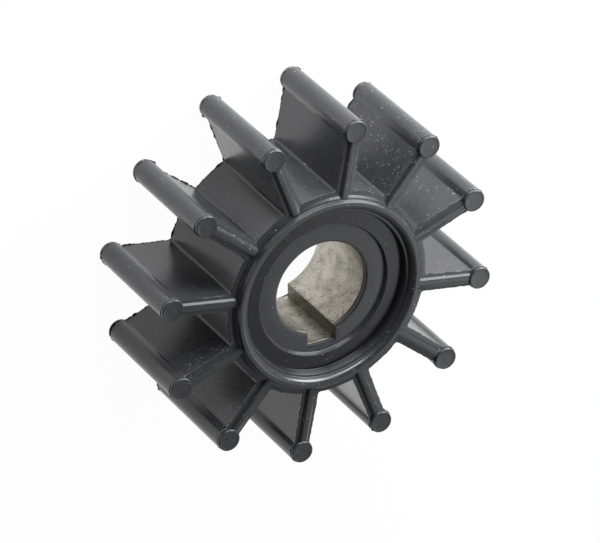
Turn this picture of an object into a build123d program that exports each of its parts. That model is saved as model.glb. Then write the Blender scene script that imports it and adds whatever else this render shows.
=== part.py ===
from build123d import *
from math import hypot
import os

# A flexible pump impeller: one rubber moulding with twelve blades, bonded to
# a metal bush with a shaft bore and one keyway.
# Millimetres. +Z is the shaft axis, the seen face is up, and the part rests on
# the ring lip of its rear face at z = 0. Depths are measured inwards from the
# crest of the ring lip. Both faces of the moulding are alike, except that a
# thin skin covers the front end of the bush and its rear end is bare.

# Overall sizes
hub_length = 21.9
blade_count = 12
lip_proud = 0.47

# Blades
tip_circle_radius = 27.6
tip_radius = 1.9
blade_root_thickness = 3.0
blade_tip_thickness = 2.5
root_fillet = 0.9
neck_fillet = 0.5

# Hub between the blades
panel_radius = 17.45

# Low rib that runs out along every blade edge and round the hub face
rib_setback = 0.25
rib_height = 0.34
rib_foot_width = 1.9
rib_top_width = 0.85
rib_foot_radius = 16.85
rib_top_radius = 16.25

# Ring lip and the stepped recess inside it
lip_foot_radius = 16.15
lip_outer_radius = 15.95
lip_inner_radius = 15.15
lip_chamfer = 0.15
lip_slope_radius = 14.5
lip_slope_depth = 0.47
ledge_outer_radius = 14.38
ledge_inner_radius = 14.1
ledge_depth = 1.05
floor_radius = 13.75
floor_depth = 2.22
floor_chamfer = 0.3
step_outer_radius = 11.35
step_inner_radius = 10.5
inner_face_depth = 2.88

# Metal bush, for a 5/8 inch shaft with a 3/16 inch key
bore_radius = 7.95
keyway_width = 4.85
keyway_reach = 9.8
keyway_angle = 280
bush_side_count = 6
bush_across_flats = 23.5
bush_chamfer = 0.25
skin_thickness = 0.58
skin_relief = 0.08
rear_mouth_clearance = 0.2

# Sizes that follow from the ones above
middle = hub_length / 2
rib_top_depth = lip_proud + rib_setback
shoulder_depth = rib_top_depth + rib_height
bush_end_depth = inner_face_depth + skin_thickness
bush_length = hub_length - 2 * bush_end_depth
blade_start_radius = (bush_across_flats / 2 + panel_radius) / 2
rear_mouth_radius = hypot(keyway_reach, keyway_width / 2) + rear_mouth_clearance
middle_plane = Plane.XY.offset(middle)


def level(depth):
    """The plane that lies a given depth below the crest of the front lip."""
    return Plane.XY.offset(hub_length - depth)


def blade_ring(hub_radius, root_width, end_width):
    """A disc with one straight arm for each blade, seen along the shaft."""
    with BuildSketch() as blade:
        with BuildLine():
            Polyline(
                (blade_start_radius, root_width / 2),
                (tip_circle_radius, end_width / 2),
                (tip_circle_radius, -end_width / 2),
                (blade_start_radius, -root_width / 2),
                close=True,
            )
        make_face()
    with BuildSketch() as outline:
        Circle(hub_radius)
        with PolarLocations(0, blade_count):
            add(blade.sketch)
    return outline.sketch


def bush_outline():
    """The outside of the bush, whose flats keep it from turning in the rubber."""
    with BuildSketch() as outline:
        RegularPolygon(bush_across_flats / 2, bush_side_count, major_radius=False)
    return outline.sketch


def bore_outline(relief):
    """The shaft bore and its keyway, wider all round by the relief."""
    with BuildSketch() as outline:
        Circle(bore_radius + relief)
        with Locations(Rotation(0, 0, keyway_angle)):
            Rectangle(
                keyway_reach + relief,
                keyway_width + 2 * relief,
                align=(Align.MIN, Align.CENTER),
            )
    return outline.sketch


# Metal bush: a tube with flats outside and a keyway, chamfered round both mouths
with BuildPart() as bush:
    with BuildSketch(Plane.XY.offset(bush_end_depth)):
        add(bush_outline())
        add(bore_outline(0), mode=Mode.SUBTRACT)
    extrude(amount=bush_length)
    ends = bush.faces().filter_by(Axis.Z)
    mouths = [edge for end in ends for edge in end.inner_wires()[0].edges()]
    chamfer(mouths, bush_chamfer)
bush.part.label = "metal_bush"

# Rib that stands on the shoulders of the front face, with sloping sides
with BuildPart() as rib:
    with BuildSketch(level(shoulder_depth)):
        add(blade_ring(rib_foot_radius, rib_foot_width, rib_foot_width))
    with BuildSketch(level(rib_top_depth)):
        add(blade_ring(rib_top_radius, rib_top_width, rib_top_width))
    loft(ruled=True)

# Ring lip, a little narrower at its crest, before the recess is cut into it
with BuildPart() as lip:
    with BuildSketch(level(rib_top_depth)):
        Circle(lip_foot_radius)
    with BuildSketch(level(0)):
        Circle(lip_outer_radius)
    loft()
    chamfer(lip.faces().sort_by(Axis.Z)[-1].edges(), lip_chamfer)

# Stepped recess that leads in to the bore, as the space that it takes
with BuildPart() as recess:
    with BuildSketch(Plane.XZ) as steps:
        with BuildLine():
            Polyline(
                (0, hub_length),
                (lip_inner_radius + lip_chamfer, hub_length),
                (lip_inner_radius, hub_length - lip_chamfer),
                (lip_slope_radius, hub_length - lip_slope_depth),
                (ledge_outer_radius, hub_length - ledge_depth),
                (ledge_inner_radius, hub_length - ledge_depth),
                (floor_radius, hub_length - floor_depth),
                (step_outer_radius, hub_length - floor_depth),
                (step_inner_radius, hub_length - inner_face_depth),
                (0, hub_length - inner_face_depth),
                close=True,
            )
        make_face()
        floor_corner = steps.vertices().sort_by_distance((floor_radius, hub_length - floor_depth))[0]
        chamfer(floor_corner, floor_chamfer)
    revolve(axis=Axis.Z)

# Rubber moulding
with BuildPart() as rubber:
    # Hub and blades, with filleted roots and a rib on both faces
    with BuildSketch(Plane.XY.offset(shoulder_depth)) as section:
        add(blade_ring(panel_radius, blade_root_thickness, blade_tip_thickness))
        roots = section.vertices().filter_by(lambda v: abs(Vector(v).length - panel_radius) < 1e-3)
        fillet(roots, root_fillet)
    extrude(amount=hub_length - 2 * shoulder_depth)
    add(rib.part)
    mirror(rib.part, about=middle_plane)
    # Round tips, which stand a little proud of the ribs
    with BuildSketch(Plane.XY.offset(lip_proud)):
        with PolarLocations(tip_circle_radius, blade_count):
            Circle(tip_radius)
    extrude(amount=hub_length - 2 * lip_proud)
    necks = rubber.edges().filter_by(Axis.Z).filter_by(
        lambda e: tip_circle_radius - tip_radius < hypot(e.center().X, e.center().Y) < tip_circle_radius
    )
    fillet(necks, neck_fillet)
    # Ring lip and recess of both faces
    add(lip.part)
    mirror(lip.part, about=middle_plane)
    add(recess.part, mode=Mode.SUBTRACT)
    mirror(recess.part, about=middle_plane, mode=Mode.SUBTRACT)
    # Seat of the bush, its bare rear end, and the bore through the front skin
    with BuildSketch(Plane.XY.offset(bush_end_depth)):
        add(bush_outline())
    extrude(amount=bush_length, mode=Mode.SUBTRACT)
    with BuildSketch(Plane.XY.offset(inner_face_depth)):
        Circle(rear_mouth_radius)
    extrude(amount=skin_thickness, mode=Mode.SUBTRACT)
    with BuildSketch(level(bush_end_depth)):
        add(bore_outline(skin_relief))
    extrude(amount=skin_thickness, mode=Mode.SUBTRACT)
rubber.part.label = "rubber_impeller"

os.makedirs("parts", exist_ok=True)
export_step(rubber.part, "parts/rubber_impeller.step")
export_step(bush.part, "parts/metal_bush.step")
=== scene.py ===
"""Looks of a flexible pump impeller: a black rubber moulding on a pale metal bush.

Sizes in the classes are millimetres, measured as the part's own: the shaft axis is +Z, the
seen face is up, and a depth is measured inwards from the crest of the ring lip.
"""

import logging
import math
from dataclasses import dataclass, field
from enum import Enum
from typing import NamedTuple

import bmesh
import bpy
import numpy as np
from mathutils import Matrix, Vector


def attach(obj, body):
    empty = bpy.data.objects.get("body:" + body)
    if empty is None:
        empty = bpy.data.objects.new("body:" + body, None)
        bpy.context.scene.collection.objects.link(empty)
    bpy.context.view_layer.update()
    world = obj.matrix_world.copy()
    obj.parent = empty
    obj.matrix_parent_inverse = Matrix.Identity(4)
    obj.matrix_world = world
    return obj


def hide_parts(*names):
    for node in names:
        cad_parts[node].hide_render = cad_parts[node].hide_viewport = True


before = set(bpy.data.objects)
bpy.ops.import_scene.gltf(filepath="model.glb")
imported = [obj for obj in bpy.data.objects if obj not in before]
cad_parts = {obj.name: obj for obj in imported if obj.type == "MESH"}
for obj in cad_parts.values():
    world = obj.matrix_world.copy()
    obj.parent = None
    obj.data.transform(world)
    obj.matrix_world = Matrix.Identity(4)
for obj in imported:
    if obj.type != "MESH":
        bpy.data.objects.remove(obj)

MM = 0.001
log = logging.getLogger("impeller")

Node = bpy.types.Node
Socket = bpy.types.NodeSocket
Colour = tuple[float, float, float, float]

BLACK: Colour = (0.0, 0.0, 0.0, 1.0)
WHITE: Colour = (1.0, 1.0, 1.0, 1.0)


class Face(Enum):
    """The two ends of the moulding: the front one looks along +Z."""

    FRONT = 1
    REAR = -1

    @property
    def up(self) -> np.ndarray:
        """The direction out of this end."""
        return np.array([0.0, 0.0, float(self.value)])

    def height(self, depth: np.ndarray, length: float) -> np.ndarray:
        """Heights over the rear lip's crest.

        Args:
            depth: Depths below this end's lip.
            length: Length of the moulding.

        Returns:
            The heights of those depths.
        """
        return length - depth if self is Face.FRONT else depth


class Side(Enum):
    """The two flanks of a blade, seen from its hub: left is anticlockwise."""

    LEFT = 1
    RIGHT = -1


# --------------------------------------------------------------------------- node helper


@dataclass(frozen=True)
class Specks:
    """Small round specks, each in a cell of its own.

    The spacing is the cells' width in millimetres, the size is the largest radius in cells, and
    the smallest speck has a share of that.
    """

    spacing: float
    size: float
    smallest: float = 0.35


class NodeSheet:
    """A short way to lay out the nodes of one material or world."""

    def __init__(self, tree: bpy.types.NodeTree) -> None:
        """Clears the tree and keeps it.

        Args:
            tree: The node tree to fill.
        """
        tree.nodes.clear()
        self.tree = tree

    def add(self, kind: str, inputs: dict | None = None, **settings: object) -> Node:
        """Adds a node, sets its properties and its inputs.

        Args:
            kind: Blender's name of the node type.
            inputs: Values or sockets by input name or number.
            **settings: Properties of the node.

        Returns:
            The new node.
        """
        node = self.tree.nodes.new(kind)
        for name, value in settings.items():
            setattr(node, name, value)
        for key, value in (inputs or {}).items():
            if isinstance(value, Socket):
                self.tree.links.new(value, node.inputs[key])
            else:
                node.inputs[key].default_value = value
        return node

    def maths(self, operation: str, a: Socket | float, b: Socket | float = 0.0) -> Socket:
        """The result of one operation on one or two numbers."""
        return self.add("ShaderNodeMath", {0: a, 1: b}, operation=operation).outputs[0]

    def times(self, a: Socket | float, b: Socket | float) -> Socket:
        """The product of two numbers."""
        return self.maths("MULTIPLY", a, b)

    def plus(self, a: Socket | float, b: Socket | float) -> Socket:
        """The sum of two numbers."""
        return self.maths("ADD", a, b)

    def larger(self, a: Socket | float, b: Socket | float) -> Socket:
        """The larger one of two numbers."""
        return self.maths("MAXIMUM", a, b)

    def ramp(self, value: Socket, low: float, high: float, to_low: Socket | float = 0.0,
             to_high: Socket | float = 1.0) -> Socket:
        """Smooth step of a number from one range to another.

        Args:
            value: The number to map.
            low: Where the step starts.
            high: Where the step ends.
            to_low: Result at the start.
            to_high: Result at the end.

        Returns:
            The mapped number.
        """
        limits = {"From Min": low, "From Max": high, "To Min": to_low, "To Max": to_high}
        node = self.add(
            "ShaderNodeMapRange", {"Value": value, **limits}, interpolation_type="SMOOTHSTEP"
        )
        return node.outputs["Result"]

    def noise(self, place: Socket, scale: float, detail: float) -> Socket:
        """Cloudy noise in the object's own millimetres."""
        node = self.add("ShaderNodeTexNoise", {"Vector": place, "Scale": scale, "Detail": detail})
        return node.outputs["Fac"]

    def mix(self, factor: Socket | float, a: Socket | Colour, b: Socket | Colour) -> Socket:
        """Mixes two colours by a factor."""
        node = self.add("ShaderNodeMix", {0: factor, 6: a, 7: b}, data_type="RGBA")
        return node.outputs[2]

    def layer(self, name: str) -> Socket:
        """A number that the mesh itself holds."""
        return self.add("ShaderNodeAttribute", attribute_name=name).outputs["Fac"]

    def millimetres(self) -> Socket:
        """The place on the object, in millimetres."""
        where = self.add("ShaderNodeTexCoord").outputs["Object"]
        return self.add("ShaderNodeVectorMath", {0: where, 3: 1 / MM}, operation="SCALE").outputs[0]

    def bump(self, relief: Socket, strength: float) -> Socket:
        """Surface relief from heights in millimetres."""
        values = {"Strength": strength, "Distance": MM, "Height": relief}
        return self.add("ShaderNodeBump", values).outputs[0]

    def specks(self, place: Socket, kind: Specks, share: Socket | float) -> Socket:
        """Scatters specks over the surface.

        Args:
            place: Place in millimetres.
            kind: Their spacing, and their sizes in cells.
            share: Share of the cells that hold one.

        Returns:
            1 on a speck and 0 beside it.
        """
        values = {"Vector": place, "Scale": 1.0 / kind.spacing, "Randomness": 1.0}
        cell = self.add("ShaderNodeTexVoronoi", values)
        dice = self.add("ShaderNodeSeparateColor", {0: cell.outputs["Color"]})
        chosen = self.maths("LESS_THAN", dice.outputs[0], share)
        radius = self.ramp(dice.outputs[1], 0.0, 1.0, kind.smallest * kind.size, kind.size)
        inside = self.maths("LESS_THAN", cell.outputs["Distance"], radius)
        return self.times(chosen, inside)

    def surface(self, shader: Node) -> None:
        """Makes a shader the surface of the material."""
        self.add("ShaderNodeOutputMaterial", {"Surface": shader.outputs[0]})


def blank_material(name: str) -> tuple[bpy.types.Material, NodeSheet]:
    """Starts a material with no nodes in it.

    Args:
        name: The material's name.

    Returns:
        The material and the sheet for its nodes.
    """
    material = bpy.data.materials.new(name)
    material.use_nodes = True
    return material, NodeSheet(material.node_tree)


# --------------------------------------------------------------------------- finishes


@dataclass(frozen=True)
class RubberFinish:
    """Black moulded rubber with a soft sheen and a little pale dust, and a smooth recess floor
    whose colour is darkened towards black as painted shade.
    """

    name: str = "black_rubber"
    colour: Colour = (0.020, 0.0205, 0.0245, 1.0)
    worn_colour: Colour = (0.026, 0.026, 0.0305, 1.0)
    dust_colour: Colour = (0.46, 0.46, 0.45, 1.0)
    roughness: float = 0.31
    polished_roughness: float = 0.24
    dusty_roughness: float = 0.4
    # Painted shade: how far the polished recess floor's colour is darkened towards black
    recess_painted_shade: float = 0.8
    index: float = 1.40
    film: float = 0.60
    polished_film: float = 0.27
    film_roughness: float = 0.24
    sheen: float = 0.04
    sheen_roughness: float = 0.5
    fine_dust: Specks = Specks(spacing=0.30, size=0.24)
    coarse_dust: Specks = Specks(spacing=1.0, size=0.075)
    coarse_share: float = 0.7
    wear_range: tuple = (0.12, 0.42)
    bloom_range: tuple = (0.3, 0.7)
    patch_range: tuple = (0.38, 0.66)
    smoother: float = 0.04
    rougher: float = 0.05
    relief: float = 0.6
    grain_height: float = 0.001
    swell_height: float = 0.03
    dust_height: float = 0.03

    def build(self) -> bpy.types.Material:
        """Makes the material.

        Returns:
            The rubber, which follows the dust and polish that the mesh holds; where the mesh holds
            polish its colour is also darkened towards black, which is painted shade.
        """
        material, sheet = blank_material(self.name)
        place = sheet.millimetres()
        cloud = sheet.noise(place, scale=0.22, detail=4.0)
        bloom = sheet.noise(place, scale=1.3, detail=5.0)
        dust = self._dust(sheet, place)
        polish_and_shade = sheet.layer("polish_and_shade")
        wear = sheet.ramp(sheet.times(cloud, bloom), *self.wear_range)
        body = sheet.mix(wear, self.colour, self.worn_colour)
        # Painted shade: the recess floor, which the mesh marks as polished, is darkened towards
        # black
        body = sheet.mix(sheet.times(polish_and_shade, self.recess_painted_shade), body, BLACK)
        colour = sheet.mix(dust, body, self.dust_colour)
        rough = sheet.ramp(bloom, *self.bloom_range, self.roughness - self.smoother,
                           self.roughness + self.rougher)
        rough = sheet.ramp(polish_and_shade, 0.0, 1.0, rough, self.polished_roughness)
        rough = sheet.plus(rough, sheet.times(dust, self.dusty_roughness))
        film = sheet.ramp(polish_and_shade, 0.0, 1.0, self.film, self.polished_film)
        bump = sheet.bump(self._relief(sheet, place, dust), self.relief)
        skin = sheet.add(
            "ShaderNodeBsdfPrincipled",
            {"Base Color": colour, "Roughness": rough, "IOR": self.index, "Normal": bump,
             "Sheen Weight": self.sheen, "Sheen Roughness": self.sheen_roughness,
             "Coat Weight": film, "Coat Roughness": self.film_roughness, "Coat Normal": bump},
        )
        sheet.surface(skin)
        return material

    def _dust(self, sheet: NodeSheet, place: Socket) -> Socket:
        """Scatters fine dust in patches and coarse dust everywhere.

        Args:
            sheet: The material's nodes.
            place: Place in millimetres.

        Returns:
            1 on a grain of dust and 0 beside it.
        """
        amount = sheet.layer("dust")
        patch = sheet.ramp(sheet.noise(place, scale=0.45, detail=2.0), *self.patch_range)
        fine = sheet.specks(place, self.fine_dust, sheet.times(amount, patch))
        coarse = sheet.specks(place, self.coarse_dust, sheet.times(amount, self.coarse_share))
        return sheet.larger(fine, coarse)

    def _relief(self, sheet: NodeSheet, place: Socket, dust: Socket) -> Socket:
        """Heights of the moulded grain, of its slow swell and of the dust.

        Args:
            sheet: The material's nodes.
            place: Place in millimetres.
            dust: Where the dust is.

        Returns:
            The height in millimetres.
        """
        grain = sheet.times(sheet.noise(place, scale=7.0, detail=4.0), self.grain_height)
        swell = sheet.times(sheet.noise(place, scale=0.55, detail=2.0), self.swell_height)
        return sheet.plus(sheet.plus(grain, swell), sheet.times(dust, self.dust_height))


@dataclass(frozen=True)
class BushFinish:
    """Machined metal with fine marks, small dark pits, darker keyway walls, and painted shade that
    darkens the bore towards its front end.
    """

    name: str = "machined_metal"
    colour: Colour = (0.66, 0.63, 0.56, 1.0)
    dull_colour: Colour = (0.44, 0.415, 0.36, 1.0)
    # Dark colour of the pits and the keyway walls, and of the painted shade towards and at the
    # front end
    pit_and_shade_colour: Colour = (0.09, 0.08, 0.06, 1.0)
    roughness: float = 0.42
    roughness_spread: float = 0.06
    front_end: float = 18.44
    shade: float = 0.32
    shade_reach: float = 13.0
    keyway_half: float = 2.425
    keyway_angle: float = 280.0
    keyway_brink: tuple = (7.45, 7.65)
    mark_stretch: tuple = (1.0, 1.0, 0.3)
    mark_share: float = 0.35
    mark_range: tuple = (0.35, 0.65)
    tone_range: tuple = (0.36, 0.62)
    close_pits: Specks = Specks(spacing=0.36, size=0.38)
    close_share: tuple = (0.24, 0.06)
    wide_pits: Specks = Specks(spacing=0.9, size=0.18)
    wide_share: float = 0.40
    crowding: float = 0.40
    crowd_aside: tuple = (5.0, 2.4)
    crowd_along: tuple = (0.0, 4.0)
    crowd_depth: tuple = (5.0, 0.5)
    pit_darkness: float = 0.9
    wall_darkness: tuple = (0.86, 0.74)
    fringe_depth: tuple = (0.45, -0.05)
    fringe_strength: float = 0.95
    relief: float = 0.5
    mark_height: float = 0.012
    pit_depth: float = 0.03

    def build(self) -> bpy.types.Material:
        """Makes the material.

        Returns:
            The metal, with its keyway's walls darkened, and painted shade towards the front end and
            in a thin fringe there.
        """
        material, sheet = blank_material(self.name)
        place = sheet.millimetres()
        turned = sheet.add(
            "ShaderNodeVectorRotate",
            {"Vector": place, "Angle": -math.radians(self.keyway_angle)},
            rotation_type="Z_AXIS",
        )
        reach = sheet.add("ShaderNodeSeparateXYZ", {0: turned.outputs[0]}).outputs
        along, aside, height = reach["X"], sheet.maths("ABSOLUTE", reach["Y"]), reach["Z"]
        drawn = sheet.add(
            "ShaderNodeVectorMath", {0: place, 1: self.mark_stretch}, operation="MULTIPLY"
        )
        marks = sheet.noise(drawn.outputs[0], scale=4.5, detail=8.0)
        cloud = sheet.noise(place, scale=0.42, detail=2.0)
        tone = sheet.plus(
            sheet.times(marks, self.mark_share), sheet.times(cloud, 1.0 - self.mark_share)
        )
        body = sheet.mix(sheet.ramp(tone, *self.tone_range), self.dull_colour, self.colour)
        # Painted shade: the bore darkens towards its front end
        shade = sheet.ramp(
            height, self.front_end - self.shade_reach, self.front_end, 0.0, self.shade
        )
        body = sheet.mix(shade, body, self.pit_and_shade_colour)
        pits = self._pits(sheet, place, cloud, (along, aside, height))
        body = sheet.mix(sheet.times(pits, self.pit_darkness), body, self.pit_and_shade_colour)
        dark_walls_and_fringe = self._dark_walls_and_fringe(sheet, marks, (along, aside, height))
        colour = sheet.mix(dark_walls_and_fringe, body, self.pit_and_shade_colour)
        rough = sheet.ramp(marks, 0.3, 0.7, self.roughness + self.roughness_spread,
                           self.roughness - self.roughness_spread)
        relief = sheet.maths("SUBTRACT", sheet.times(marks, self.mark_height),
                             sheet.times(pits, self.pit_depth))
        bump = sheet.bump(relief, self.relief)
        skin = sheet.add(
            "ShaderNodeBsdfPrincipled",
            {"Base Color": colour, "Roughness": rough, "Metallic": 1.0, "Normal": bump},
        )
        sheet.surface(skin)
        return material

    def _pits(self, sheet: NodeSheet, place: Socket, cloud: Socket,
              reach: tuple[Socket, Socket, Socket]) -> Socket:
        """Scatters dark pits, which crowd beside the keyway and at the front end.

        Args:
            sheet: The material's nodes.
            place: Place in millimetres.
            cloud: Slow noise that thins them out.
            reach: Place along the keyway, aside from it, and height.

        Returns:
            1 in a pit and 0 beside it.
        """
        along, aside, height = reach
        start, end = (self.front_end - depth for depth in self.crowd_depth)
        brink = sheet.ramp(height, start, end)
        beside = sheet.times(
            sheet.ramp(aside, *self.crowd_aside), sheet.ramp(along, *self.crowd_along)
        )
        crowd = sheet.times(sheet.plus(beside, brink), self.crowding)
        share = sheet.plus(sheet.ramp(cloud, *self.mark_range, *self.close_share), crowd)
        close = sheet.specks(place, self.close_pits, share)
        return sheet.larger(close, sheet.specks(place, self.wide_pits, self.wide_share))

    def _dark_walls_and_fringe(self, sheet: NodeSheet, marks: Socket,
               reach: tuple[Socket, Socket, Socket]) -> Socket:
        """Darkens the keyway's walls, and paints shade in a thin fringe at the front end, the dark
        reflection of the rubber beside it.

        Args:
            sheet: The material's nodes.
            marks: Fine noise that breaks the stain up.
            reach: Place along the keyway, aside from it, and height.

        Returns:
            How much of the darkening shows.
        """
        along, aside, height = reach
        wall = sheet.ramp(aside, self.keyway_half - 0.07, self.keyway_half - 0.01)
        wall = sheet.times(wall, sheet.ramp(along, *self.keyway_brink))
        wall = sheet.times(wall, sheet.ramp(marks, *self.mark_range, *self.wall_darkness))
        # Painted shade: a thin dark fringe at the front end, broken up by the marks
        start, end = (self.front_end - depth for depth in self.fringe_depth)
        fringe = sheet.ramp(sheet.plus(height, sheet.times(marks, 0.5)), start, end,
                            0.0, self.fringe_strength)
        return sheet.larger(wall, fringe)


@dataclass(frozen=True)
class FloorFinish:
    """White floor that stays white in view and keeps a faint shadow."""

    name: str = "white_floor"
    colour: Colour = (0.90, 0.90, 0.90, 1.0)
    glow: float = 0.97
    mirrored: float = 0.84

    def build(self) -> bpy.types.Material:
        """Makes the material.

        Returns:
            A diffuse white, mostly replaced by plain white where it is seen or mirrored.
        """
        material, sheet = blank_material(self.name)
        ray = sheet.add("ShaderNodeLightPath").outputs
        seen = sheet.larger(ray["Is Camera Ray"], sheet.times(ray["Is Glossy Ray"], self.mirrored))
        seen = sheet.larger(seen, ray["Is Transmission Ray"])
        paint = sheet.add("ShaderNodeBsdfDiffuse", {"Color": self.colour})
        light = sheet.add("ShaderNodeEmission", {"Color": WHITE, "Strength": 1.0})
        both = sheet.add(
            "ShaderNodeMixShader",
            {0: sheet.times(seen, self.glow), 1: paint.outputs[0], 2: light.outputs[0]},
        )
        sheet.surface(both)
        return material


# --------------------------------------------------------------------------- mesh helper


class Shell:
    """Collects patches of quads, and makes one mesh of them."""

    def __init__(self) -> None:
        """Starts with nothing in it."""
        self.points: list[np.ndarray] = []
        self.faces: list[tuple[int, ...]] = []
        self.layers: dict[str, list[np.ndarray]] = {"dust": [], "polish_and_shade": []}
        self.count = 0

    def patch(self, grid: np.ndarray, towards: np.ndarray, dust: float = 0.0,
              closed: bool = False, polish_and_shade: np.ndarray | float = 0.0) -> None:
        """Adds a grid of quads.

        Args:
            grid: Points by row and column, in millimetres.
            towards: A direction on the air side of the patch's middle quad.
            dust: How dusty the patch is, from 0 to 1.
            closed: Whether the last column joins the first.
            polish_and_shade: How smooth the patch is, from 0 to 1, at once or by row; the same
                share darkens its colour towards black as painted shade.
        """
        rows, columns = grid.shape[:2]
        row, column = (rows - 1) // 2, (columns - 1) // 2
        across = grid[row + 1, column] - grid[row, column]
        along = grid[row, column + 1] - grid[row, column]
        turned = float(np.dot(np.cross(across, along), towards)) < 0.0
        index = np.arange(rows * columns).reshape(rows, columns) + self.count
        last = columns if closed else columns - 1
        for r in range(rows - 1):
            for c in range(last):
                n = (c + 1) % columns
                quad = (index[r, c], index[r + 1, c], index[r + 1, n], index[r, n])
                self.faces.append(tuple(int(i) for i in (reversed(quad) if turned else quad)))
        self.points.append(grid.reshape(-1, 3))
        self.layers["dust"].append(np.full(rows * columns, dust))
        self.layers["polish_and_shade"].append(np.broadcast_to(polish_and_shade, (columns, rows)).T.reshape(-1))
        self.count += rows * columns

    def build(self, name: str, material: bpy.types.Material, sharp: float = 38.0,
              weld: float = 0.002, sliver: float = 0.0005) -> bpy.types.Object:
        """Joins the patches where they meet.

        Args:
            name: The piece's name.
            material: Its finish.
            sharp: Edges that turn by more than this angle are sharp.
            weld: Points nearer to each other than this are joined.
            sliver: Edges shorter than this are dissolved.

        Returns:
            The new piece.
        """
        mesh = bpy.data.meshes.new(name)
        mesh.from_pydata((np.concatenate(self.points) * MM).tolist(), [], self.faces)
        for label, parts in self.layers.items():
            layer = mesh.attributes.new(label, "FLOAT", "POINT")
            layer.data.foreach_set("value", np.concatenate(parts).astype(np.float32))
        work = bmesh.new()
        work.from_mesh(mesh)
        bmesh.ops.remove_doubles(work, verts=work.verts, dist=weld * MM)
        bmesh.ops.dissolve_degenerate(work, edges=work.edges, dist=sliver * MM)
        work.to_mesh(mesh)
        work.free()
        mesh.shade_smooth()
        mesh.set_sharp_from_angle(angle=math.radians(sharp))
        mesh.materials.append(material)
        piece = bpy.data.objects.new(name, mesh)
        bpy.context.scene.collection.objects.link(piece)
        return piece


def heading(turn: float) -> np.ndarray:
    """The level direction at an angle in radians."""
    return np.array([math.cos(turn), math.sin(turn), 0.0])


def arc(centre: np.ndarray, radius: float, start: float, end: float, steps: int) -> np.ndarray:
    """Points on an arc, ends included.

    Args:
        centre: Centre of the arc.
        radius: Its radius.
        start: First angle in radians.
        end: Last angle in radians.
        steps: Number of steps from end to end.

    Returns:
        The points, one a row.
    """
    turn = np.linspace(start, end, steps + 1)
    return centre + radius * np.stack([np.cos(turn), np.sin(turn)], axis=1)


def rounded(line: tuple[tuple[float, float, float], ...], steps: int = 3,
            lead: float = 0.03) -> np.ndarray:
    """A line with its corners rounded.

    Args:
        line: Each corner's place, and the radius that rounds it.
        steps: Number of steps in each rounding.
        lead: Gap to one more point on each side, which keeps the flats flat in shading.

    Returns:
        The points, one a row.
    """
    points = [np.array(line[0][:2])]
    for before, here, after in zip(line, line[1:], line[2:]):
        spot = np.array(here[:2])
        back = np.array(before[:2]) - spot
        ahead = np.array(after[:2]) - spot
        back, ahead = back / np.linalg.norm(back), ahead / np.linalg.norm(ahead)
        half = math.acos(max(-1.0, min(1.0, float(back @ ahead)))) / 2
        reach = here[2] / math.tan(half)
        first, last = spot + back * reach, spot + ahead * reach
        points.append(first + back * lead)
        for share in np.linspace(0.0, 1.0, steps + 1):
            rest = 1 - share
            points.append(rest ** 2 * first + 2 * share * rest * spot + share ** 2 * last)
        points.append(last + ahead * lead)
    points.append(np.array(line[-1][:2]))
    return np.array(points)


def uneven(dice: np.random.Generator, count: int, span: int, spare: int) -> np.ndarray:
    """Random numbers from 0 to 1 that change slowly from one to the next.

    Args:
        dice: Source of the irregularity.
        count: How many numbers.
        span: Each is the mean of this many.
        spare: How many more are drawn, half of them for each end.

    Returns:
        The numbers.
    """
    drawn = dice.random(count + spare)
    return np.convolve(drawn, np.ones(span) / span, "same")[spare // 2: -(spare // 2)]


# --------------------------------------------------------------------------- the moulding


@dataclass(frozen=True)
class Outline:
    """The outer edge of half a blade and half a pocket, from pocket middle to blade tip."""

    points: np.ndarray
    normals: np.ndarray
    root_middle: int
    face_start: int
    neck_start: int
    tip_start: int


@dataclass(frozen=True)
class Quarter:
    """One flank of one blade at one end of the moulding."""

    angle: float
    side: Side
    face: Face
    length: float
    dust: float

    @property
    def across(self) -> np.ndarray:
        """The direction out of the flank."""
        return heading(self.angle + math.pi / 2) * self.side.value

    def place(self, flat: np.ndarray, depth: np.ndarray) -> np.ndarray:
        """Moves points of the half blade to this flank and end.

        Args:
            flat: Points along and across the blade.
            depth: Their depths.

        Returns:
            Points of the part.
        """
        along, aside = flat[..., 0], flat[..., 1] * self.side.value
        x = along * math.cos(self.angle) - aside * math.sin(self.angle)
        y = along * math.sin(self.angle) + aside * math.cos(self.angle)
        z = self.face.height(depth, self.length)
        return np.stack([x, y, np.broadcast_to(z, x.shape)], axis=-1)


class FringeLine(NamedTuple):
    """One line of the flash fringe, measured from the sharp edge of the moulding.

    It stands out by a fixed length and a share of the flash's own width, and lies lower by a
    fixed drop and a share of the flash's sag.
    """

    out: float
    flash: float
    drop: float
    sag: float


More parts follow.
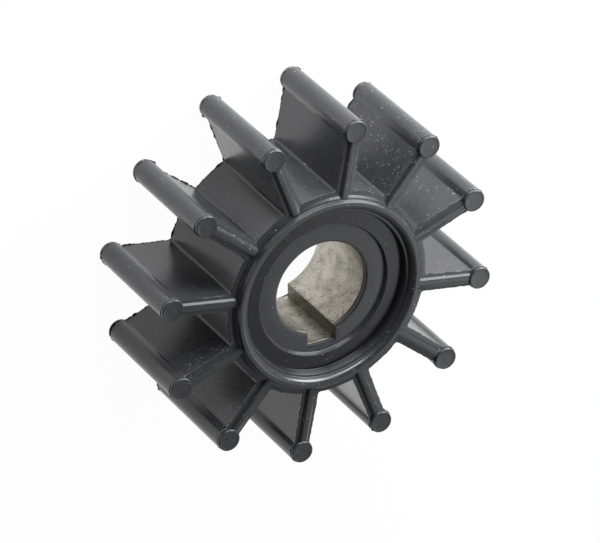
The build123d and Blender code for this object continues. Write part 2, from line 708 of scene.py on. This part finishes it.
@dataclass
class RubberMoulding:
    """The rubber hub with its twelve blades, in one piece."""

    name: str = "rubber_moulding"
    node: str = "rubber_impeller"
    length: float = 21.9
    seed: int = 7

    # Blades, and how many steps the mesh takes along each stretch of their outline
    blades: int = 12
    blade_start: float = 14.6
    root_width: float = 3.0
    tip_width: float = 2.5
    tip_circle: float = 27.6
    tip_radius: float = 1.9
    root_fillet: float = 0.45
    neck_fillet: float = 0.5
    panel_radius: float = 17.45
    panel_steps: int = 10
    root_steps: int = 10
    face_steps: int = 40
    neck_steps: int = 7
    tip_steps: int = 22
    cap_steps: int = 8

    # Rib along the blade edges: its side runs from top (0, 0) to foot (1, 1)
    rib_depth: float = 0.72
    shoulder_depth: float = 1.06
    rib_foot: float = 0.95
    rib_top: float = 0.425
    rib_foot_radius: float = 16.85
    rib_top_radius: float = 16.25
    rib_beyond_neck: float = 0.35
    ring_radius: float = 16.05
    rib_side: tuple = (
        (-0.30, 0.0), (-0.10, 0.012), (0.08, 0.07), (0.28, 0.24),
        (0.70, 0.72), (0.90, 0.93), (1.06, 0.99), (1.22, 1.0),
    )

    # Flash fringe along the outline, with its widest reach and sag
    land: float = 0.06
    front_flash: float = 0.13
    rear_flash: float = 0.26
    flash_share: tuple = (0.06, 1.25)
    flash_ends: tuple = (0.02, 0.04)
    flash_sag: float = 0.03
    fringe: tuple = (
        FringeLine(out=-0.01, flash=0.0, drop=0.012, sag=0.0),
        FringeLine(out=0.0, flash=1.0, drop=0.03, sag=1.0),
        FringeLine(out=0.0, flash=0.6, drop=0.07, sag=1.0),
        FringeLine(out=0.0, flash=0.0, drop=0.13, sag=0.0),
        FringeLine(out=0.0, flash=0.0, drop=0.40, sag=0.0),
    )

    # End of a tip: inset from its side, and depth, from the foot of its wall inwards
    cap_radius: float = 1.84
    cap_line: tuple = (
        (0.0, 1.06), (0.0, 0.63), (0.02, 0.56), (0.07, 0.495), (0.14, 0.47),
        (0.22, 0.474), (0.30, 0.495), (0.38, 0.50), (1.14, 0.50), (1.84, 0.50),
    )

    # Ring lip and stepped recess: radius, depth and rounding of each corner
    turn_steps: int = 192
    lip_line: tuple = (
        (16.19, 0.95, 0.0), (15.96, 0.0, 0.09), (14.72, 0.0, 0.80), (14.53, 1.05, 0.05),
        (14.12, 1.05, 0.05), (13.86, 2.22, 0.05), (11.34, 2.22, 0.05), (11.12, 2.88, 0.05),
        (10.20, 2.88, 0.0),
    )
    # Polished recess floor, whose colour is also darkened as painted shade: radii where it starts
    # and ends, and the depth below which it lies
    polish_and_shade_from: float = 11.38
    polish_and_shade_to: float = 13.9
    polish_and_shade_below: float = 1.9

    # Mouths and the seat of the bush: a rim's points lie beside the mouth and below the skin
    skin_depth: float = 2.88
    seat_depth: float = 3.46
    seat_flats: float = 23.5
    seat_sides: int = 6
    mouth_radius: float = 7.94
    mouth_unevenness: float = 0.10
    mouth_rim: tuple = ((0.35, 0.0), (0.12, 0.01), (0.02, 0.08), (0.0, 0.2))
    slot_half: float = 2.42
    slot_reach: float = 9.79
    slot_angle: float = 280.0
    rear_mouth: float = 10.3
    rear_rim: tuple = ((0.1, 0.0), (0.0, 0.08))

    # Dust by blade angle and flank, and on everything else
    dusty: dict = field(default_factory=lambda: {
        (60, Side.LEFT): 1.0, (30, Side.LEFT): 0.55, (210, Side.RIGHT): 0.8,
        (240, Side.RIGHT): 0.9, (270, Side.RIGHT): 0.6, (300, Side.RIGHT): 0.35,
    })
    common_dust: float = 0.22
    clean_dust: float = 0.05
    cap_dust: float = 0.12
    rib_dust_share: float = 0.5
    tip_dust_share: float = 0.4

    def build(self, finish: RubberFinish) -> bpy.types.Object:
        """Makes the moulding and puts it in place of its plain solid.

        Args:
            finish: Its rubber.

        Returns:
            The piece.
        """
        dice = np.random.default_rng(self.seed)
        shell = Shell()
        edge = self._outline()
        for number in range(self.blades):
            degrees = number * 360 // self.blades
            for side in Side:
                dust = self.dusty.get((degrees, side), self.common_dust)
                for face in Face:
                    spot = Quarter(math.radians(degrees), side, face, self.length, dust)
                    self._rib(shell, edge, spot)
                    self._wall(shell, edge, spot, dice)
                    self._cap(shell, edge, spot)
        self._hub(shell, dice)
        piece = shell.build(self.name, finish.build())
        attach(piece, "root")
        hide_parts(self.node)
        return piece

    def _outline(self) -> Outline:
        """Works out the outline of half a blade from the sizes.

        Returns:
            Points with their outward normals, blade axis along +X.
        """
        hub, tip = np.zeros(2), np.array([self.tip_circle, 0.0])
        start = np.array([self.blade_start, self.root_width / 2])
        end = np.array([self.tip_circle, self.tip_width / 2])
        along = (end - start) / np.linalg.norm(end - start)
        out = np.array([-along[1], along[0]])
        root_centre = self._beside((start, along, out), self.root_fillet,
                                   hub, self.panel_radius + self.root_fillet, 1.0)
        neck_centre = self._beside((start, along, out), self.neck_fillet,
                                   tip, self.tip_radius + self.neck_fillet, -1.0)
        root_turn = math.atan2(root_centre[1], root_centre[0])
        face_turn = math.atan2(-out[1], -out[0])
        neck_turn = math.atan2(*(tip - neck_centre)[::-1])
        panel = arc(hub, self.panel_radius, math.pi / self.blades, root_turn, self.panel_steps)
        root = arc(root_centre, self.root_fillet, root_turn - math.pi, face_turn, self.root_steps)
        neck = arc(neck_centre, self.neck_fillet, face_turn, neck_turn, self.neck_steps)
        face = np.linspace(root[-1], neck[0], self.face_steps + 1)
        round_tip = arc(tip, self.tip_radius, neck_turn + math.pi, 0.0, self.tip_steps)
        points = np.concatenate([panel, root[1:], face[1:], neck[1:], round_tip[1:]])
        normals = np.concatenate([
            panel / self.panel_radius,
            (root_centre - root[1:]) / self.root_fillet,
            np.repeat(out[None], self.face_steps, axis=0),
            (neck_centre - neck[1:]) / self.neck_fillet,
            (round_tip[1:] - tip) / self.tip_radius,
        ])
        face_start = self.panel_steps + self.root_steps
        neck_start = face_start + self.face_steps
        return Outline(points, normals, self.panel_steps + self.root_steps // 2,
                       face_start, neck_start, neck_start + self.neck_steps)

    @staticmethod
    def _beside(line: tuple[np.ndarray, np.ndarray, np.ndarray], gap: float,
                centre: np.ndarray, reach: float, side: float) -> np.ndarray:
        """The point at a gap beside a line and at a reach from a centre.

        Args:
            line: A point on the line, its direction and its normal.
            gap: Distance from the line.
            centre: The other centre.
            reach: Distance from that centre.
            side: 1 for the far crossing and -1 for the near one.

        Returns:
            The point.
        """
        start, along, out = line
        foot = start + gap * out - centre
        middle = -float(foot @ along)
        half = math.sqrt(middle ** 2 - float(foot @ foot) + reach ** 2)
        return centre + foot + (middle + side * half) * along

    def _rib_lines(self, edge: Outline) -> tuple[np.ndarray, np.ndarray, np.ndarray]:
        """The rib's top edge, foot and centre line beside each station.

        Args:
            edge: The outline.

        Returns:
            Three lines of points, up to the neck of the tip.
        """
        hub, pocket = np.zeros(2), math.pi / self.blades
        corner, start, neck, last = (
            edge.root_middle, edge.face_start, edge.neck_start, edge.tip_start
        )
        lines = []
        for radius, half in (
            (self.rib_top_radius, self.rib_top), (self.rib_foot_radius, self.rib_foot)
        ):
            line = np.zeros((last + 1, 2))
            line[: corner + 1] = arc(hub, radius, pocket, math.asin(half / radius), corner)
            near = math.sqrt(radius ** 2 - half ** 2)
            far = edge.points[neck, 0] + self.rib_beyond_neck
            line[corner: start + 1, 0] = np.linspace(near, edge.points[start, 0],
                                                     start - corner + 1)
            line[start: neck + 1, 0] = edge.points[start: neck + 1, 0]
            line[neck:, 0] = np.linspace(edge.points[neck, 0], far, last - neck + 1)
            line[corner:, 1] = half
            lines.append(line)
        top, foot = lines
        inner = top.copy()
        turn = math.asin(self.rib_top / self.rib_top_radius)
        inner[: corner + 1] = arc(hub, self.ring_radius, pocket, turn, corner)
        inner[corner + 1:, 1] = 0.0
        return top, foot, inner

    def _rib(self, shell: Shell, edge: Outline, spot: Quarter) -> None:
        """Adds the rib's side and the shoulder below it, from the lip to the tip's neck.

        Args:
            shell: Where it goes.
            edge: The outline.
            spot: Which flank and end.
        """
        top, foot, inner = self._rib_lines(edge)
        last = edge.tip_start + 1
        drop = self.shoulder_depth - self.rib_depth
        rows = [(inner, self.rib_depth)]
        for lateral, fall in self.rib_side:
            rows.append((top + lateral * (foot - top), self.rib_depth + fall * drop))
        rows.append(((edge.points - self.land * edge.normals)[:last], self.shoulder_depth))
        flat = np.stack([line for line, _ in rows])
        depth = np.stack([np.full(last, level) for _, level in rows])
        shell.patch(spot.place(flat, depth), spot.face.up, self.rib_dust_share * spot.dust)
        corner = edge.root_middle
        gap = np.stack([
            [inner[corner], (self.ring_radius, 0.0)], [inner[corner + 1], inner[corner + 1]]
        ])
        shell.patch(spot.place(gap, np.full((2, 2), self.rib_depth)), spot.face.up)

    def _flash_width(self, count: int, face: Face, dice: np.random.Generator) -> np.ndarray:
        """How far the thin moulding flash stands out at each station.

        Args:
            count: Number of stations.
            face: Which end it is on.
            dice: Source of the irregularity.

        Returns:
            Widths in millimetres, small at both ends.
        """
        fine = uneven(dice, count, span=3, spare=8)
        slow = uneven(dice, count, span=17, spare=40)
        widest = self.rear_flash if face is Face.REAR else self.front_flash
        share = 0.25 + 2.2 * (slow - 0.45) + 1.5 * (fine - 0.5)
        width = widest * np.clip(share, *self.flash_share)
        width[[0, -1]] = self.flash_ends[0]
        width[[1, -2]] = np.minimum(width[[1, -2]], self.flash_ends[1])
        return width

    def _wall(self, shell: Shell, edge: Outline, spot: Quarter,
              dice: np.random.Generator) -> None:
        """Adds the outer wall down to the middle of its length, with its flash fringe.

        Args:
            shell: Where it goes.
            edge: The outline.
            spot: Which flank and end.
            dice: Source of the irregularity.
        """
        count = len(edge.points)
        width = self._flash_width(count, spot.face, dice)[:, None]
        sag = self.flash_sag * dice.random(count)
        low = np.full(count, self.shoulder_depth)
        rows = [(edge.points - self.land * edge.normals, low)]
        for line in self.fringe:
            stand = edge.points + (line.out + line.flash * width) * edge.normals
            rows.append((stand, low + line.drop + line.sag * sag))
        rows.append((edge.points, np.full(count, self.length / 2)))
        placed = spot.place(np.stack([r[0] for r in rows]), np.stack([r[1] for r in rows]))
        blade, tip = placed[:, : edge.tip_start + 1], placed[:, edge.tip_start:]
        outward = spot.across + heading(spot.angle)
        for part, away, share in (
            (blade, spot.across, 1.0), (tip, outward, self.tip_dust_share)
        ):
            shell.patch(part[3:], away, share * spot.dust)
            shell.patch(part[:3], spot.face.up)
            shell.patch(part[2:4], -spot.face.up)

    def _cap(self, shell: Shell, edge: Outline, spot: Quarter) -> None:
        """Adds half of a tip's end, with its rounded rim and its low wall.

        Args:
            shell: Where it goes.
            edge: The outline.
            spot: Which flank and end.
        """
        ahead = edge.normals[edge.tip_start:]
        ahead_turn = np.arctan2(ahead[:, 1], ahead[:, 0])
        back_turn = np.linspace(math.pi, ahead_turn[0], self.cap_steps + 1)[:-1]
        turn = np.concatenate([back_turn, ahead_turn])
        ring = np.stack([np.cos(turn), np.sin(turn)], axis=1)
        tip = np.array([self.tip_circle, 0.0])
        flat = np.stack([tip + (self.cap_radius - inset) * ring for inset, _ in self.cap_line])
        depth = np.stack([np.full(len(turn), level) for _, level in self.cap_line])
        placed = spot.place(flat, depth)
        middle = float(turn[(len(turn) - 1) // 2])
        outward = heading(middle * spot.side.value + spot.angle)
        shell.patch(placed[:3], outward, self.clean_dust)
        shell.patch(placed[2:], spot.face.up, self.cap_dust)

    def _mouth(self, turns: np.ndarray, dice: np.random.Generator) -> np.ndarray:
        """The keyed mouth in the front skin, with an uneven edge.

        Args:
            turns: Angle of each station, which is moved to the keyway's corners there.
            dice: Source of the irregularity.

        Returns:
            Its radius at each station.
        """
        slot = math.radians(self.slot_angle)
        mouth_turn = math.asin(self.slot_half / self.mouth_radius)
        corner_turn = math.atan2(self.slot_half, self.slot_reach)
        for away in (-mouth_turn, -corner_turn, corner_turn, mouth_turn):
            turns[np.argmin(np.abs(turns - slot - away))] = slot + away
        beside, slack = np.abs(turns - slot), 1e-9
        mouth = np.full(len(turns), self.mouth_radius)
        flank = (beside > corner_turn - slack) & (beside < mouth_turn + slack)
        mouth[flank] = self.slot_half / np.sin(beside[flank])
        end = beside < corner_turn + slack
        mouth[end] = self.slot_reach / np.cos(beside[end])
        ragged = uneven(dice, len(turns), span=5, spare=4) - 0.5
        return mouth + self.mouth_unevenness * ragged

    def _hub(self, shell: Shell, dice: np.random.Generator) -> None:
        """Adds both ring lips and recesses, the mouths and the seat of the bush.

        Args:
            shell: Where it goes.
            dice: Source of the irregularity.
        """
        turns = np.linspace(0.0, 2 * math.pi, self.turn_steps, endpoint=False)
        mouth = self._mouth(turns, dice)
        hole = np.full(len(turns), self.rear_mouth)
        flat = 2 * math.pi / self.seat_sides
        seat = self.seat_flats / 2 / np.cos((turns + flat / 2) % flat - flat / 2)
        lip = [(np.full(len(turns), radius), depth) for radius, depth in rounded(self.lip_line)]
        front = (Face.FRONT, lip, mouth, self.mouth_rim)
        rear = (Face.REAR, lip[:-1], hole, self.rear_rim)
        for face, rows, opening, rim in (front, rear):
            rows = rows + [(opening + wider, self.skin_depth + deeper) for wider, deeper in rim]
            rows.append((opening, self.seat_depth))
            rows.append((seat, self.seat_depth))
            rows.append((seat, self.length / 2))
            self._ring(shell, rows, turns, face)

    def _ring(self, shell: Shell, rows: list[tuple[np.ndarray, float]], turns: np.ndarray,
              face: Face) -> None:
        """Adds a band that runs all round the hub.

        Args:
            shell: Where it goes.
            rows: Radii and depth of each line.
            turns: Angle of each station.
            face: The end.
        """
        radius = np.stack([radii for radii, _ in rows])
        depth = np.stack([np.full(len(turns), level) for _, level in rows])
        z = face.height(depth, self.length)
        grid = np.stack([radius * np.cos(turns), radius * np.sin(turns), z], axis=-1)
        row, column = (len(rows) - 1) // 2, (len(turns) - 1) // 2
        wider = radius[row + 1, column] - radius[row, column]
        deeper = depth[row + 1, column] - depth[row, column]
        air = -deeper * heading(turns[column]) - wider * face.up
        # The polished recess floor, which also gets painted shade in the rubber's colour
        inside = (radius[:, 0] > self.polish_and_shade_from) & (radius[:, 0] < self.polish_and_shade_to)
        polish_and_shade = np.where(inside & (depth[:, 0] > self.polish_and_shade_below), 1.0, 0.0)
        shell.patch(grid, air, self.clean_dust, closed=True, polish_and_shade=polish_and_shade)


@dataclass
class MetalBush:
    """The keyed bush, which keeps its solid."""

    node: str = "metal_bush"

    def dress(self, finish: BushFinish) -> bpy.types.Object:
        """Gives the solid its metal.

        Args:
            finish: The metal.

        Returns:
            The solid.
        """
        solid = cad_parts[self.node]
        material = finish.build()
        for slot in solid.material_slots:
            slot.material = material
        return solid


# --------------------------------------------------------------------------- studio


def away_from_part(azimuth: float, elevation: float) -> Vector:
    """The direction from the part at two angles in degrees."""
    turn, rise = math.radians(azimuth), math.radians(elevation)
    return Vector((math.cos(rise) * math.cos(turn), math.cos(rise) * math.sin(turn),
                   math.sin(rise)))


@dataclass(frozen=True)
class PhotoCamera:
    """The camera at the photograph's angle."""

    name: str = "photo_camera"
    aim: tuple = (0.401, -0.768, 11.637)
    distance: float = 822.05
    azimuth: float = 140.2154
    elevation: float = 49.3322
    roll: float = 131.7136
    lens: float = 316.30
    sensor: float = 36.0
    nearest: float = 50.0
    farthest: float = 20000.0

    def build(self) -> bpy.types.Object:
        """Makes the camera and looks through it.

        Returns:
            The camera.
        """
        back = away_from_part(self.azimuth, self.elevation)
        roll = math.radians(self.roll)
        level = (-back).cross(Vector((0.0, 0.0, 1.0))).normalized()
        upright = level.cross(-back)
        right = level * math.cos(roll) + upright * math.sin(roll)
        up = right.cross(-back)
        eye = (Vector(self.aim) + back * self.distance) * MM
        data = bpy.data.cameras.new(self.name)
        data.lens = self.lens
        data.sensor_width = self.sensor
        data.clip_start, data.clip_end = self.nearest * MM, self.farthest * MM
        camera = bpy.data.objects.new(self.name, data)
        camera.matrix_world = Matrix((
            (right.x, up.x, back.x, eye.x), (right.y, up.y, back.y, eye.y),
            (right.z, up.z, back.z, eye.z), (0.0, 0.0, 0.0, 1.0),
        ))
        bpy.context.scene.collection.objects.link(camera)
        bpy.context.scene.camera = camera
        return camera


@dataclass(frozen=True)
class SoftLight:
    """A square soft light that faces the part."""

    name: str
    azimuth: float
    elevation: float
    distance: float
    size: float
    power: float
    colour: tuple = (0.965, 0.975, 1.0)
    target: tuple = (0.0, 0.0, 11.0)

    def build(self) -> bpy.types.Object:
        """Makes the light and turns it to the part.

        Returns:
            The light.
        """
        away = away_from_part(self.azimuth, self.elevation)
        data = bpy.data.lights.new(self.name, "AREA")
        data.shape = "SQUARE"
        data.size = self.size * MM
        data.energy = self.power
        data.color = self.colour
        light = bpy.data.objects.new(self.name, data)
        light.location = (away * self.distance + Vector(self.target)) * MM
        light.rotation_mode = "QUATERNION"
        light.rotation_quaternion = (-away).to_track_quat("-Z", "Y")
        bpy.context.scene.collection.objects.link(light)
        return light


@dataclass
class Studio:
    """Floor, sky and lights."""

    floor_size: float = 4000.0
    floor_gap: float = 0.02
    low_sky: Colour = (0.16, 0.16, 0.17, 1.0)
    high_sky: Colour = (0.04, 0.04, 0.043, 1.0)
    lights: tuple = (
        SoftLight("key_light", azimuth=47.0, elevation=42.0, distance=260.0, size=105.0,
                  power=0.26),
        SoftLight("low_light", azimuth=50.0, elevation=14.0, distance=240.0, size=150.0,
                  power=1.30),
        SoftLight("side_light", azimuth=95.0, elevation=14.0, distance=240.0, size=150.0,
                  power=0.80),
        SoftLight("near_fill", azimuth=344.0, elevation=42.0, distance=226.0, size=120.0,
                  power=0.065),
        SoftLight("wide_fill", azimuth=300.0, elevation=32.0, distance=400.0, size=380.0,
                  power=0.16),
    )

    def build(self) -> list[bpy.types.Object]:
        """Makes the whole studio and sets the plain view transform.

        Returns:
            The floor and the lights.
        """
        bpy.context.scene.view_settings.view_transform = "Standard"
        self._sky()
        return [self._floor(), *(light.build() for light in self.lights)]

    def _floor(self) -> bpy.types.Object:
        """Makes the floor just under the part.

        Returns:
            The floor.
        """
        half = self.floor_size / 2 * MM
        square = [(-half, -half, 0), (half, -half, 0), (half, half, 0), (-half, half, 0)]
        mesh = bpy.data.meshes.new("studio_floor")
        mesh.from_pydata(square, [], [(0, 1, 2, 3)])
        mesh.materials.append(FloorFinish().build())
        floor = bpy.data.objects.new("studio_floor", mesh)
        floor.location.z = -self.floor_gap * MM
        bpy.context.scene.collection.objects.link(floor)
        return floor

    def _sky(self) -> None:
        """Makes a sky that is pale round the horizon and dimmer above."""
        world = bpy.data.worlds.new("studio_sky")
        bpy.context.scene.world = world
        world.use_nodes = True
        sheet = NodeSheet(world.node_tree)
        way = sheet.add("ShaderNodeTexCoord").outputs["Generated"]
        height = sheet.add("ShaderNodeSeparateXYZ", {0: way}).outputs["Z"]
        colour = sheet.mix(sheet.ramp(height, 0.05, 0.75), self.low_sky, self.high_sky)
        light = sheet.add("ShaderNodeBackground", {"Color": colour, "Strength": 1.0})
        sheet.add("ShaderNodeOutputWorld", {"Surface": light.outputs[0]})


# --------------------------------------------------------------------------- in order


def report(thing: bpy.types.Object) -> None:
    """Logs a finished object, with its faces and finish where it is a mesh.

    Args:
        thing: What was made or dressed.
    """
    if thing.type == "MESH":
        faces, finish = len(thing.data.polygons), thing.material_slots[0].name
        log.info("%s: %d faces of %s", thing.name, faces, finish)
    else:
        log.info("%s: %s", thing.name, thing.type.lower())


def main() -> None:
    """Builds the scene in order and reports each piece."""
    logging.basicConfig(level=logging.INFO, format="%(name)s %(message)s")
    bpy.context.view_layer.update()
    report(PhotoCamera().build())
    for thing in Studio().build():
        report(thing)
    report(RubberMoulding().build(RubberFinish()))
    report(MetalBush().dress(BushFinish()))


if __name__ == "__main__":
    main()
